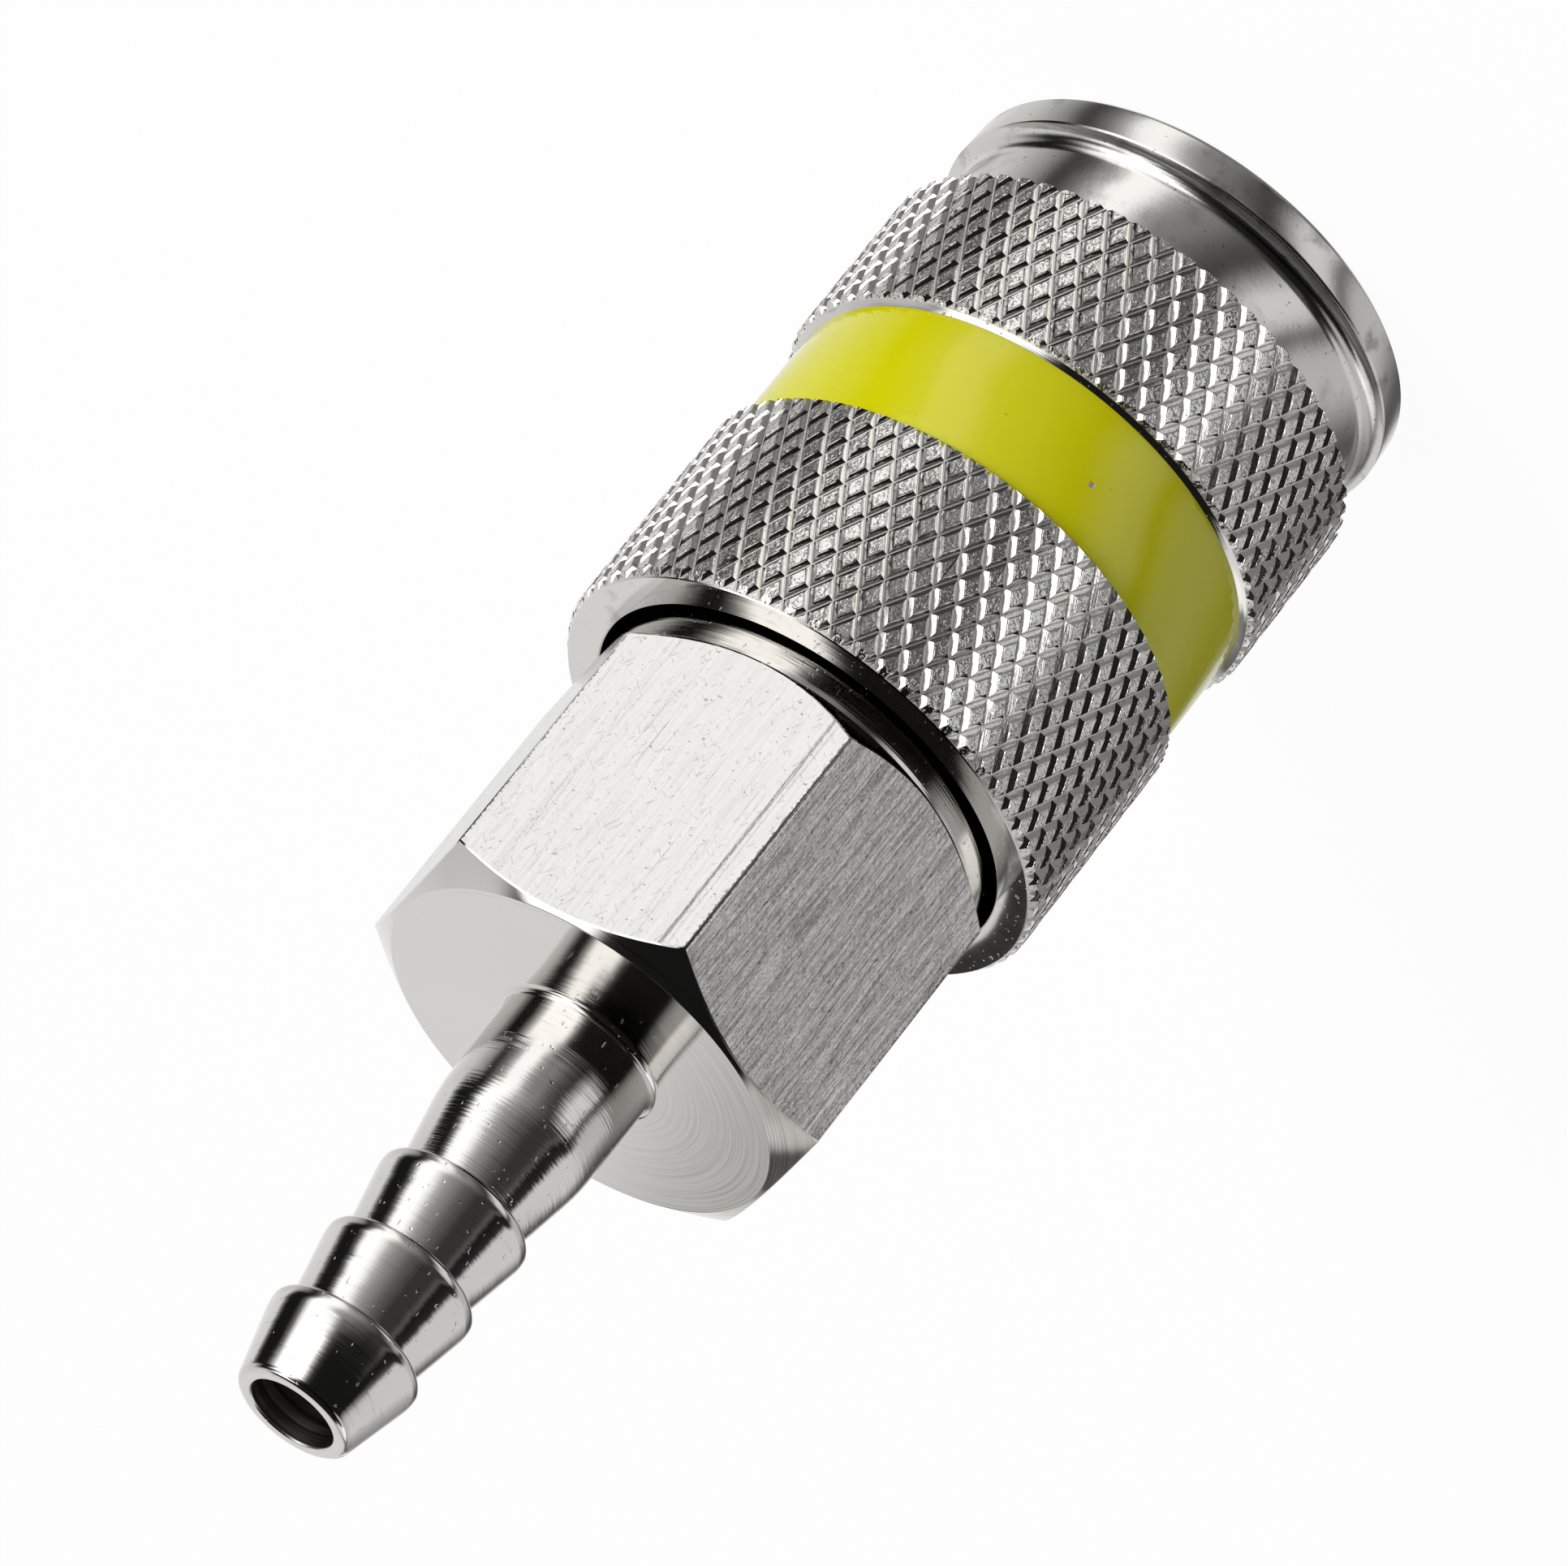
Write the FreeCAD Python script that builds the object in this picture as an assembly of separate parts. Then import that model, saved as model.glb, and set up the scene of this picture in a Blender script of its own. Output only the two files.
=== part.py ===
import FreeCAD, Part
import math
import os

from FreeCAD import Vector

# Compressed-air quick coupling with a barbed hose tail, in millimetres.
# It stands on its mouth: Z = 0 is the front face of the sliding sleeve, +Z runs
# along the axis towards the end of the hose tail. The bore for the plug and the
# bore of the hose tail are the two sizes that the walls and clearances build on.

# Socket body, from the bore outwards
PLUG_BORE_DIAMETER = 10.2
COLLAR_BORE_STEP = 0.95
COLLAR_BORE_DEPTH = 4.5
BORE_STEP_LENGTH = 0.5
NOSE_WALL = 1.05
NOSE_RECESS = 0.4
NOSE_CHAMFER = 0.4
VALVE_SEAT_WIDTH = 1.1
VALVE_HEAD_CLEARANCE = 0.4
THREAD_WALL = 1.4
THREAD_LENGTH = 7.3
THREAD_CLEARANCE = 0.05
MIDDLE_STEP = 0.3
FLANGE_STEP = 2.1
FLANGE_THICKNESS = 1.8

# Hexagon and its collar
COLLAR_WALL = 1.65
COLLAR_BARE_LENGTH = 1.52
COLLAR_HIDDEN_LENGTH = 1.4
FLATS_ABOVE_COLLAR = 0.05
HEX_LENGTH = 17.15
HEX_FACE_STEP = 0.25
HEX_FACE_CHAMFER_ANGLE = 34.0
HEX_COLLAR_CHAMFER_ANGLE = 44.5

# Hose tail, from the bore outwards
TAIL_BORE_DIAMETER = 4.6
TIP_WALL = 0.8
TIP_ROUNDING = 0.45
BARB_ROOT_WALL = 1.1
BARB_HEIGHT = 0.71
BARB_COUNT = 3
BARB_PITCH = 4.48
BARB_LAND = 0.5
BARB_BACK_LENGTH = 0.3
SHANK_STEP = 0.05
SHANK_LENGTH = 5.7
SHANK_TAPER_LENGTH = 4.71
SHANK_ROOT_FILLET = 0.4
TAIL_CHAMBER_STEP = 1.45
TAIL_CHAMBER_LENGTH = 3.4
TAIL_FUNNEL_LENGTH = 4.3

# Sliding sleeve, outside
SLEEVE_LENGTH = 35.1
SLEEVE_WALL = 2.1
RIM_STEP = 0.7
RIM_LENGTH = 2.2
RIM_TAPER = 0.1
RIM_CHAMFER = 0.35
NECK_STEP = 1.65
NECK_LENGTH = 4.5
FRONT_KNURL_LENGTH = 8.55
GROOVE_WIDTH = 7.55
GROOVE_DEPTH = 0.68
GROOVE_WALL_RUN = 0.44
REAR_CHAMFER_LENGTH = 0.43
REAR_CHAMFER_DEPTH = 0.33
LACQUER_THICKNESS = 0.1

# Sliding sleeve, inside
COLLAR_CLEARANCE = 0.45
SHOULDER_ABOVE_BALLS = 6.5
RELIEF_WIDENING = 0.05
FRONT_RECESS_DEPTH = 3.0
SLEEVE_TRAVEL = 1.7
BALL_LIFT = 0.85

# Locking balls
BALL_COUNT = 6
BALL_DIAMETER = 3.3
BALLS_ABOVE_STEP = 2.0
BALL_INWARD_REACH = 0.8
BALL_SEAT_GAP = 0.04

# Retaining ring, thrust washer and sleeve spring
RING_THICKNESS = 1.1
RING_CATCH = 0.48
RING_EDGE_CLEARANCE = 0.4
RING_GROOVE_DEPTH = 0.45
RING_GAP_WIDTH = 2.0
WASHER_THICKNESS = 0.8
WASHER_EDGE_CLEARANCE = 0.3
SLEEVE_SPRING_WIRE = 1.4
SLEEVE_SPRING_TURNS = 6.5

# Seals
PLUG_SEAL_SECTION = 1.8
PLUG_SEAL_SQUEEZE = 0.15
GASKET_SECTION = 1.2
SEAL_SIDE_GAP = 0.05

# Check valve
VALVE_SEAL_THICKNESS = 0.9
VALVE_HEAD_THICKNESS = 2.0
VALVE_NOSE_LENGTH = 1.8
VALVE_NOSE_WALL = 1.34
VALVE_NECK_WALL = 0.6
VALVE_SLOT_COUNT = 4
VALVE_SLOT_WIDTH = 2.2
VALVE_SLOT_DEPTH = 1.0
VALVE_SEAT_LENGTH = 2.2
VALVE_STEM_DIAMETER = 4.0
VALVE_STEM_END = 1.2
VALVE_GUIDE_THICKNESS = 1.5
VALVE_GUIDE_HUB_WALL = 1.44
VALVE_GUIDE_RIM_WIDTH = 1.6
VALVE_GUIDE_SPOKES = 3
VALVE_GUIDE_SPOKE_WIDTH = 1.8
VALVE_SPRING_WIRE = 1.0
VALVE_SPRING_DIAMETER = 9.6
VALVE_SPRING_TURNS = 6.5

# Fits
RUNNING_CLEARANCE = 0.06
FREE_CLEARANCE = 0.3

# Radii worked out from the bores outwards
plug_bore_radius = PLUG_BORE_DIAMETER / 2
collar_bore_radius = plug_bore_radius + COLLAR_BORE_STEP
nose_radius = collar_bore_radius + NOSE_WALL
guide_radius = nose_radius + RUNNING_CLEARANCE
valve_head_radius = plug_bore_radius + VALVE_SEAT_WIDTH
valve_chamber_radius = valve_head_radius + VALVE_HEAD_CLEARANCE
valve_nose_bore_radius = plug_bore_radius - RUNNING_CLEARANCE - VALVE_NOSE_WALL
valve_neck_radius = valve_nose_bore_radius + VALVE_NECK_WALL
thread_radius = valve_chamber_radius + THREAD_WALL
thread_bore_radius = thread_radius + THREAD_CLEARANCE
middle_radius = thread_radius + MIDDLE_STEP
flange_radius = middle_radius + FLANGE_STEP
gasket_groove_radius = thread_bore_radius + GASKET_SECTION + SEAL_SIDE_GAP
collar_radius = gasket_groove_radius + COLLAR_WALL
flats_radius = collar_radius + FLATS_ABOVE_COLLAR
sleeve_bore_radius = collar_radius + COLLAR_CLEARANCE
sleeve_radius = sleeve_bore_radius + SLEEVE_WALL
groove_floor_radius = sleeve_radius - GROOVE_DEPTH
tail_bore_radius = TAIL_BORE_DIAMETER / 2
barb_root_radius = tail_bore_radius + BARB_ROOT_WALL
barb_crest_radius = barb_root_radius + BARB_HEIGHT
shank_radius = barb_crest_radius + SHANK_STEP

# Heights worked out from the sizes above
bore_step_z = NOSE_RECESS + COLLAR_BORE_DEPTH
ball_z = bore_step_z + BORE_STEP_LENGTH + BALLS_ABOVE_STEP
knurl_front_z = RIM_LENGTH + NECK_LENGTH
groove_front_z = knurl_front_z + FRONT_KNURL_LENGTH
groove_rear_z = groove_front_z + GROOVE_WIDTH
hex_start_z = SLEEVE_LENGTH + COLLAR_BARE_LENGTH
hex_face_z = hex_start_z + HEX_LENGTH
shank_end_z = hex_face_z + SHANK_LENGTH
tip_z = shank_end_z + SHANK_TAPER_LENGTH + BARB_COUNT * BARB_PITCH
collar_end_z = SLEEVE_LENGTH - COLLAR_HIDDEN_LENGTH

# Balls: where they sit at rest, and the sleeve's cone that presses them inwards
ball_radius = BALL_DIAMETER / 2
ball_rest_radius = plug_bore_radius - BALL_INWARD_REACH + ball_radius
cone_slope = BALL_LIFT / SLEEVE_TRAVEL
cone_angle = math.atan(cone_slope)
cone_radius_at_ball = ball_rest_radius + (ball_radius + BALL_SEAT_GAP) / math.cos(cone_angle)
cone_top_z = ball_z + (cone_radius_at_ball - guide_radius) / cone_slope
cone_bottom_z = ball_z + ball_radius * math.sin(cone_angle) - SLEEVE_TRAVEL - FREE_CLEARANCE
relief_radius = cone_radius_at_ball + (ball_z - cone_bottom_z) * cone_slope + RELIEF_WIDENING
ring_radius = relief_radius + RING_CATCH

# Inside stack, from the sleeve's shoulder up to the hose tail
shoulder_z = ball_z + SHOULDER_ABOVE_BALLS
washer_top_z = shoulder_z + WASHER_THICKNESS
middle_start_z = washer_top_z + SLEEVE_TRAVEL + FREE_CLEARANCE
flange_top_z = collar_end_z
flange_bottom_z = flange_top_z - FLANGE_THICKNESS
plug_seal_z = middle_start_z + FREE_CLEARANCE + PLUG_SEAL_SECTION / 2
valve_seat_z = plug_seal_z + PLUG_SEAL_SECTION / 2 + VALVE_SEAT_LENGTH
head_bottom_z = valve_seat_z + VALVE_SEAL_THICKNESS
head_top_z = head_bottom_z + VALVE_HEAD_THICKNESS
thread_top_z = flange_top_z + THREAD_LENGTH
guide_top_z = thread_top_z + VALVE_GUIDE_THICKNESS
stem_top_z = guide_top_z + VALVE_STEM_END
valve_nose_z = valve_seat_z - VALVE_NOSE_LENGTH


class Section:
    """Half section beside the Z axis: lines and arcs that are closed and turned into a solid."""

    def __init__(self, r, z):
        self.start = self.here = Vector(r, 0, z)
        self.edges = []

    def line(self, r, z):
        there = Vector(r, 0, z)
        self.edges.append(Part.makeLine(self.here, there))
        self.here = there
        return self

    def arc(self, middle_r, middle_z, r, z):
        there = Vector(r, 0, z)
        middle = Vector(middle_r, 0, middle_z)
        self.edges.append(Part.Arc(self.here, middle, there).toShape())
        self.here = there
        return self

    def turn(self):
        self.edges.append(Part.makeLine(self.here, self.start))
        face = Part.Face(Part.Wire(self.edges))
        return face.revolve(Vector(0, 0, 0), Vector(0, 0, 1), 360)


def quarter(radius):
    """How far the middle of a quarter arc lies from its two tangent lines."""
    return radius * (1 - math.sqrt(0.5))


def tube(outer_radius, inner_radius, bottom, top):
    section = Section(inner_radius, bottom)
    section.line(outer_radius, bottom).line(outer_radius, top).line(inner_radius, top)
    return section.turn()


def rod(radius, bottom, top):
    return Part.makeCylinder(radius, top - bottom, Vector(0, 0, bottom))


def round_ring(mean_radius, section_radius, z):
    return Part.makeTorus(mean_radius, section_radius, Vector(0, 0, z))


def around(shape, count, first_angle=0.0):
    """Copies of a shape spaced evenly about the axis."""
    copies = []
    for number in range(count):
        copy = shape.copy()
        copy.rotate(Vector(0, 0, 0), Vector(0, 0, 1), first_angle + number * 360 / count)
        copies.append(copy)
    return copies


def coil_spring(mean_diameter, wire, bottom, top, turns):
    height = top - bottom - wire
    radius = mean_diameter / 2
    start_z = bottom + wire / 2
    helix = Part.makeHelix(height / turns, height, radius)
    helix.translate(Vector(0, 0, start_z))
    direction = Vector(0, 2 * math.pi * radius, height / turns)
    section = Part.Wire(Part.makeCircle(wire / 2, Vector(radius, 0, start_z), direction))
    return Part.Wire(helix.Edges).makePipeShell([section], True, True)


def hose_tail():
    """Hexagon with its collar, and the barbed tail, turned from one hexagon bar."""
    corner_radius = flats_radius / math.cos(math.radians(30))
    stock_radius = corner_radius + 1
    face_radius = flats_radius - HEX_FACE_STEP
    collar_rise = (stock_radius - collar_radius) * math.tan(math.radians(HEX_COLLAR_CHAMFER_ANGLE))
    face_drop = (stock_radius - face_radius) * math.tan(math.radians(HEX_FACE_CHAMFER_ANGLE))
    chamber_radius = thread_bore_radius - TAIL_CHAMBER_STEP
    gasket_top = collar_end_z + GASKET_SECTION
    fillet = SHANK_ROOT_FILLET
    body = Section(gasket_groove_radius, collar_end_z)
    body.line(collar_radius, collar_end_z).line(collar_radius, hex_start_z)
    body.line(stock_radius, hex_start_z + collar_rise)
    body.line(stock_radius, hex_face_z - face_drop).line(face_radius, hex_face_z)
    body.line(shank_radius + fillet, hex_face_z)
    body.arc(shank_radius + quarter(fillet), hex_face_z + quarter(fillet), shank_radius, hex_face_z + fillet)
    body.line(shank_radius, shank_end_z)
    for number in reversed(range(BARB_COUNT)):
        crest_back = tip_z - BARB_PITCH * (number + 1)
        body.line(barb_root_radius, crest_back - BARB_BACK_LENGTH)
        rounding = BARB_LAND / 2
        body.line(barb_crest_radius - rounding, crest_back)
        body.arc(barb_crest_radius - quarter(rounding), crest_back + quarter(rounding),
                 barb_crest_radius, crest_back + rounding)
        body.line(barb_crest_radius, crest_back + BARB_LAND)
    tip_radius = tail_bore_radius + TIP_WALL
    body.line(tip_radius, tip_z - TIP_ROUNDING)
    body.arc(tip_radius - quarter(TIP_ROUNDING), tip_z - quarter(TIP_ROUNDING),
             tip_radius - TIP_ROUNDING, tip_z)
    body.line(tail_bore_radius, tip_z)
    chamber_top = guide_top_z + TAIL_CHAMBER_LENGTH
    body.line(tail_bore_radius, chamber_top + TAIL_FUNNEL_LENGTH).line(chamber_radius, chamber_top)
    body.line(chamber_radius, guide_top_z).line(thread_bore_radius, guide_top_z)
    body.line(thread_bore_radius, gasket_top).line(gasket_groove_radius, gasket_top)
    corners = [Vector(corner_radius * math.cos(math.radians(30 + 60 * k)),
                      corner_radius * math.sin(math.radians(30 + 60 * k)), 0) for k in range(7)]
    prism = Part.Face(Part.makePolygon(corners)).extrude(Vector(0, 0, tip_z))
    return body.turn().common(prism)


def socket_body():
    """Tube that takes the plug: ball holes, seal groove, valve chamber and the thread."""
    ring_top = FRONT_RECESS_DEPTH
    ring_bottom = ring_top - RING_THICKNESS
    groove_floor = nose_radius - RING_GROOVE_DEPTH
    seal_half = PLUG_SEAL_SECTION / 2 + SEAL_SIDE_GAP
    seal_floor = plug_seal_outer_radius() + SEAL_SIDE_GAP
    section = Section(collar_bore_radius + NOSE_CHAMFER, NOSE_RECESS)
    section.line(nose_radius, NOSE_RECESS)
    section.line(nose_radius, ring_bottom).line(groove_floor, ring_bottom)
    section.line(groove_floor, ring_top).line(nose_radius, ring_top)
    section.line(nose_radius, middle_start_z).line(middle_radius, middle_start_z)
    section.line(middle_radius, flange_bottom_z).line(flange_radius, flange_bottom_z)
    section.line(flange_radius, flange_top_z).line(thread_radius, flange_top_z)
    section.line(thread_radius, thread_top_z).line(valve_chamber_radius, thread_top_z)
    section.line(valve_chamber_radius, valve_seat_z).line(plug_bore_radius, valve_seat_z)
    section.line(plug_bore_radius, plug_seal_z + seal_half).line(seal_floor, plug_seal_z + seal_half)
    section.line(seal_floor, plug_seal_z - seal_half).line(plug_bore_radius, plug_seal_z - seal_half)
    section.line(plug_bore_radius, bore_step_z + BORE_STEP_LENGTH).line(collar_bore_radius, bore_step_z)
    section.line(collar_bore_radius, NOSE_RECESS + NOSE_CHAMFER)
    return section.turn().cut(Part.Compound(around(ball_hole(), BALL_COUNT)))


def ball_hole():
    """Hole for one ball along +X, with a round seat at its inner end so that the ball can't fall through."""
    rest = Vector(ball_rest_radius, 0, ball_z)
    outwards = Vector(1, 0, 0)
    seat = Part.makeSphere(ball_radius + BALL_SEAT_GAP, rest)
    hole = Part.makeCylinder(ball_radius + RUNNING_CLEARANCE, middle_radius, rest, outwards)
    return hole.fuse(seat)


def lock_ball(number):
    angle = number * 2 * math.pi / BALL_COUNT
    centre = Vector(ball_rest_radius * math.cos(angle), ball_rest_radius * math.sin(angle), ball_z)
    return Part.makeSphere(ball_radius, centre)


def outer_sleeve():
    """Sleeve pulled back to release the plug: rim, neck, two knurled bands and a colour groove."""
    outer = sleeve_radius
    rim = outer - RIM_STEP
    neck = outer - NECK_STEP
    fillet = rim - neck
    front_recess = ring_radius + RING_EDGE_CLEARANCE
    section = Section(front_recess, 0)
    section.line(rim - RIM_TAPER - RIM_CHAMFER, 0).line(rim - RIM_TAPER, RIM_CHAMFER)
    section.line(rim, RIM_LENGTH)
    section.arc(neck + quarter(fillet), RIM_LENGTH + quarter(fillet), neck, RIM_LENGTH + fillet)
    section.line(neck, knurl_front_z).line(outer, knurl_front_z)
    section.line(outer, groove_front_z).line(groove_floor_radius, groove_front_z + GROOVE_WALL_RUN)
    section.line(groove_floor_radius, groove_rear_z - GROOVE_WALL_RUN).line(outer, groove_rear_z)
    section.line(outer, SLEEVE_LENGTH - REAR_CHAMFER_LENGTH)
    section.line(outer - REAR_CHAMFER_DEPTH, SLEEVE_LENGTH)
    section.line(sleeve_bore_radius, SLEEVE_LENGTH).line(sleeve_bore_radius, shoulder_z)
    section.line(guide_radius, shoulder_z)
    section.line(guide_radius, cone_top_z)
    section.line(relief_radius - RELIEF_WIDENING, cone_bottom_z).line(relief_radius, cone_bottom_z)
    section.line(relief_radius, FRONT_RECESS_DEPTH).line(front_recess, FRONT_RECESS_DEPTH)
    return section.turn()


def colour_band():
    """Lacquer that lines the groove between the knurled bands."""
    floor = groove_floor_radius
    run = LACQUER_THICKNESS * GROOVE_WALL_RUN / GROOVE_DEPTH
    bottom = groove_front_z + GROOVE_WALL_RUN
    top = groove_rear_z - GROOVE_WALL_RUN
    section = Section(floor, bottom)
    section.line(floor + LACQUER_THICKNESS, bottom - run).line(floor + LACQUER_THICKNESS, top + run)
    section.line(floor, top)
    return section.turn()


def sleeve_stop_ring():
    """Snap ring in the nose of the socket body that keeps the sleeve on."""
    inner = nose_radius - RING_GROOVE_DEPTH
    outer = ring_radius
    ring = tube(outer, inner, FRONT_RECESS_DEPTH - RING_THICKNESS, FRONT_RECESS_DEPTH)
    corner = Vector(0, -RING_GAP_WIDTH / 2, 0)
    return ring.cut(Part.makeBox(outer + 1, RING_GAP_WIDTH, SLEEVE_LENGTH, corner))


def thrust_washer():
    """Washer between the sleeve's shoulder and its spring."""
    outer = sleeve_bore_radius - WASHER_EDGE_CLEARANCE
    return tube(outer, guide_radius, shoulder_z, washer_top_z)


def sleeve_spring():
    inner_radius = middle_radius + FREE_CLEARANCE
    mean_diameter = 2 * inner_radius + SLEEVE_SPRING_WIRE
    return coil_spring(mean_diameter, SLEEVE_SPRING_WIRE, washer_top_z, flange_bottom_z,
                       SLEEVE_SPRING_TURNS)


def plug_seal_outer_radius():
    return plug_bore_radius - PLUG_SEAL_SQUEEZE + PLUG_SEAL_SECTION


def plug_seal():
    section_radius = PLUG_SEAL_SECTION / 2
    return round_ring(plug_seal_outer_radius() - section_radius, section_radius, plug_seal_z)


def body_gasket():
    """Ring that seals the thread, in a groove at the end of the collar."""
    section_radius = GASKET_SECTION / 2
    mean_radius = thread_bore_radius + section_radius
    return round_ring(mean_radius, section_radius, flange_top_z + section_radius)


def valve_nose():
    """Slotted front of the valve that the plug pushes; its neck holds the seal."""
    outer = plug_bore_radius - RUNNING_CLEARANCE
    bore = valve_nose_bore_radius
    neck = valve_neck_radius
    section = Section(bore, valve_nose_z)
    section.line(outer, valve_nose_z).line(outer, valve_seat_z).line(neck, valve_seat_z)
    section.line(neck, head_bottom_z).line(bore, head_bottom_z)
    slot = Part.makeBox(outer, VALVE_SLOT_WIDTH, VALVE_SLOT_DEPTH,
                        Vector(0, -VALVE_SLOT_WIDTH / 2, valve_nose_z))
    return section.turn().cut(Part.Compound(around(slot, VALVE_SLOT_COUNT, 45)))


def valve_seal():
    """Rubber washer between the valve's nose and its head, pressed on the seat."""
    return tube(valve_head_radius, valve_neck_radius, valve_seat_z, head_bottom_z)


def valve_stem():
    """Head of the valve with the stem that runs in the guide."""
    head = rod(valve_head_radius, head_bottom_z, head_top_z)
    return head.fuse(rod(VALVE_STEM_DIAMETER / 2, head_top_z, stem_top_z)).removeSplitter()


def valve_guide():
    """Spoked ring clamped between the socket body and the hose tail; air flows between the spokes."""
    outer = thread_radius
    stem_bore = VALVE_STEM_DIAMETER / 2 + RUNNING_CLEARANCE
    hub = stem_bore + VALVE_GUIDE_HUB_WALL
    rim = tube(outer, outer - VALVE_GUIDE_RIM_WIDTH, thread_top_z, guide_top_z)
    spoke = Part.makeBox(outer - VALVE_GUIDE_RIM_WIDTH / 2, VALVE_GUIDE_SPOKE_WIDTH, VALVE_GUIDE_THICKNESS,
                         Vector(0, -VALVE_GUIDE_SPOKE_WIDTH / 2, thread_top_z))
    spider = rod(hub, thread_top_z, guide_top_z).fuse(around(spoke, VALVE_GUIDE_SPOKES) + [rim])
    return spider.cut(rod(stem_bore, thread_top_z - 1, guide_top_z + 1)).removeSplitter()


def valve_spring():
    return coil_spring(VALVE_SPRING_DIAMETER, VALVE_SPRING_WIRE, head_top_z, thread_top_z,
                       VALVE_SPRING_TURNS)


pieces = {
    "hose_tail": hose_tail(),
    "socket_body": socket_body(),
    "body_gasket": body_gasket(),
    "outer_sleeve": outer_sleeve(),
    "colour_band": colour_band(),
    "sleeve_stop_ring": sleeve_stop_ring(),
    "thrust_washer": thrust_washer(),
    "sleeve_spring": sleeve_spring(),
    "plug_seal": plug_seal(),
    "valve_nose": valve_nose(),
    "valve_seal": valve_seal(),
    "valve_stem": valve_stem(),
    "valve_spring": valve_spring(),
    "valve_guide": valve_guide(),
}
for number in range(BALL_COUNT):
    pieces[f"lock_ball_{number + 1}"] = lock_ball(number)

os.makedirs("parts", exist_ok=True)
for name, shape in pieces.items():
    solid = shape.Solids[0] if len(shape.Solids) == 1 else shape
    solid.exportStep(f"parts/{name}.step")
    print(name, "valid", shape.isValid(), "solids", len(shape.Solids), "volume", round(shape.Volume, 2))
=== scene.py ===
import math

import bmesh
import bpy
from mathutils import Matrix, Vector
from mathutils.noise import noise_vector, seed_set


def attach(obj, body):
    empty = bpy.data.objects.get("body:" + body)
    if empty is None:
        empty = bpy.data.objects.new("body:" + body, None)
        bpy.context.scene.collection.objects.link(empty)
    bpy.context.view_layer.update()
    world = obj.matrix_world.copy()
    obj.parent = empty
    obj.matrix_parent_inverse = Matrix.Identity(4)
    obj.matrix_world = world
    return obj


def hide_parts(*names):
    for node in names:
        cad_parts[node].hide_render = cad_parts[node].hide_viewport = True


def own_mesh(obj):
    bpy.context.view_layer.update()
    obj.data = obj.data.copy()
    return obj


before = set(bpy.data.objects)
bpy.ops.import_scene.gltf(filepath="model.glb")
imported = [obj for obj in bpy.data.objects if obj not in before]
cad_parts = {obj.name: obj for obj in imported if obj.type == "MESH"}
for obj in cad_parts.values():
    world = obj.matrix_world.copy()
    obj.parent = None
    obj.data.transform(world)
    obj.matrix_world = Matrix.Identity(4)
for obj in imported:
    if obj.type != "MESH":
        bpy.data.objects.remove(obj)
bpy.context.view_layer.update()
scene = bpy.context.scene
MM = 0.001

# Camera: a long lens that looks down at the coupling as it stands on its mouth, rolled
# over so that the hose tail points to the lower left corner of the picture.
CAMERA_PLACE = Vector((0.43415, -0.21306, 0.29236))
CAMERA_RIGHT = Vector((-0.08404, -0.83155, -0.54906))
CAMERA_UP = Vector((0.60377, 0.39585, -0.69193))
FRAME_WIDTH_PX = 1932
FOCAL_LENGTH_PX = 14068

camera_data = bpy.data.cameras.new("camera")
camera_data.sensor_fit = "HORIZONTAL"
camera_data.lens = camera_data.sensor_width * FOCAL_LENGTH_PX / FRAME_WIDTH_PX
camera_data.clip_start = 0.01
camera_data.clip_end = 20
camera = bpy.data.objects.new("camera", camera_data)
turn = Matrix((CAMERA_RIGHT, CAMERA_UP, CAMERA_RIGHT.cross(CAMERA_UP))).transposed()
camera.matrix_world = Matrix.Translation(CAMERA_PLACE) @ turn.to_4x4()
scene.collection.objects.link(camera)
scene.camera = camera
scene.view_settings.view_transform = "Standard"

# The room: a photo tent. The compass stops say how bright its wall is all around, from -180
# to 180 degrees, in three rings: low, level with the coupling, and high. One bright softbox
# stands between two black flags, which lean to and fro with the height. The roof is black but
# for one more softbox, a white card hangs high behind the coupling, and the pit is dark.
SOFTBOX = 1.65
HIGH_SOFTBOX = 2.2
FLAG = 0.012
PIT = 0.22
LOW_RING = (
    (-180, 0.35), (-172, 0.11), (-158, 0.12), (-147, 0.25), (-123, 0.7), (-105, 0.68),
    (-98, 0.66), (-93, 0.42), (-87, 0.1), (-83, 0.25), (-77, 0.9), (-60, 0.95), (-50, 0.4),
    (-42, 0.07), (-38, 0.06), (-26, 0.13), (-14, 0.28), (-2, 0.3), (7, 0.5), (13, 1.1),
    (17, 1.5), (32, 1.5), (38, 0.6), (46, 0.25), (57, 0.05), (63, 0.06), (71, 0.35),
    (83, 0.6), (95, 0.8), (144, 0.95), (174, 0.8), (180, 0.35),
)
LEVEL_RING = (
    (-180, 0.42), (-170, 0.34), (-158, 0.52), (-142, 0.87), (-102, 0.87), (-95, 0.03), (-80, FLAG),
    (-74, 0.13), (-66, 0.05), (-46, 0.05), (-26, 0.165), (-5, 0.42), (4, 0.66), (14, 1.35),
    (22, SOFTBOX), (40, SOFTBOX), (50, 0.18), (58, FLAG), (80, FLAG), (87, 0.15), (97, 0.95),
    (174, 1.0), (180, 0.42),
)
HIGH_RING = (
    (-180, 0.5), (-175, 0.15), (-168, 0.2), (-158, 0.4), (-146, 0.6), (-134, 0.75), (-110, 0.7),
    (-103, 0.6), (-94, 0.3), (-88, FLAG), (-13, FLAG), (-6, 0.07), (-1, 0.5), (4, 1.6),
    (7, HIGH_SOFTBOX), (44, HIGH_SOFTBOX), (50, 1.0), (57, 0.3), (64, FLAG), (78, FLAG),
    (88, 0.3), (96, 0.7), (107, 0.85), (150, 0.97), (172, 0.9), (180, 0.5),
)
FLAG_LEAN = 6.5
LEAN_HALF_WAVE = 17
LEAN_OFFSET = 28.5
CAMERA_WHITE = 1.0


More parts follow.
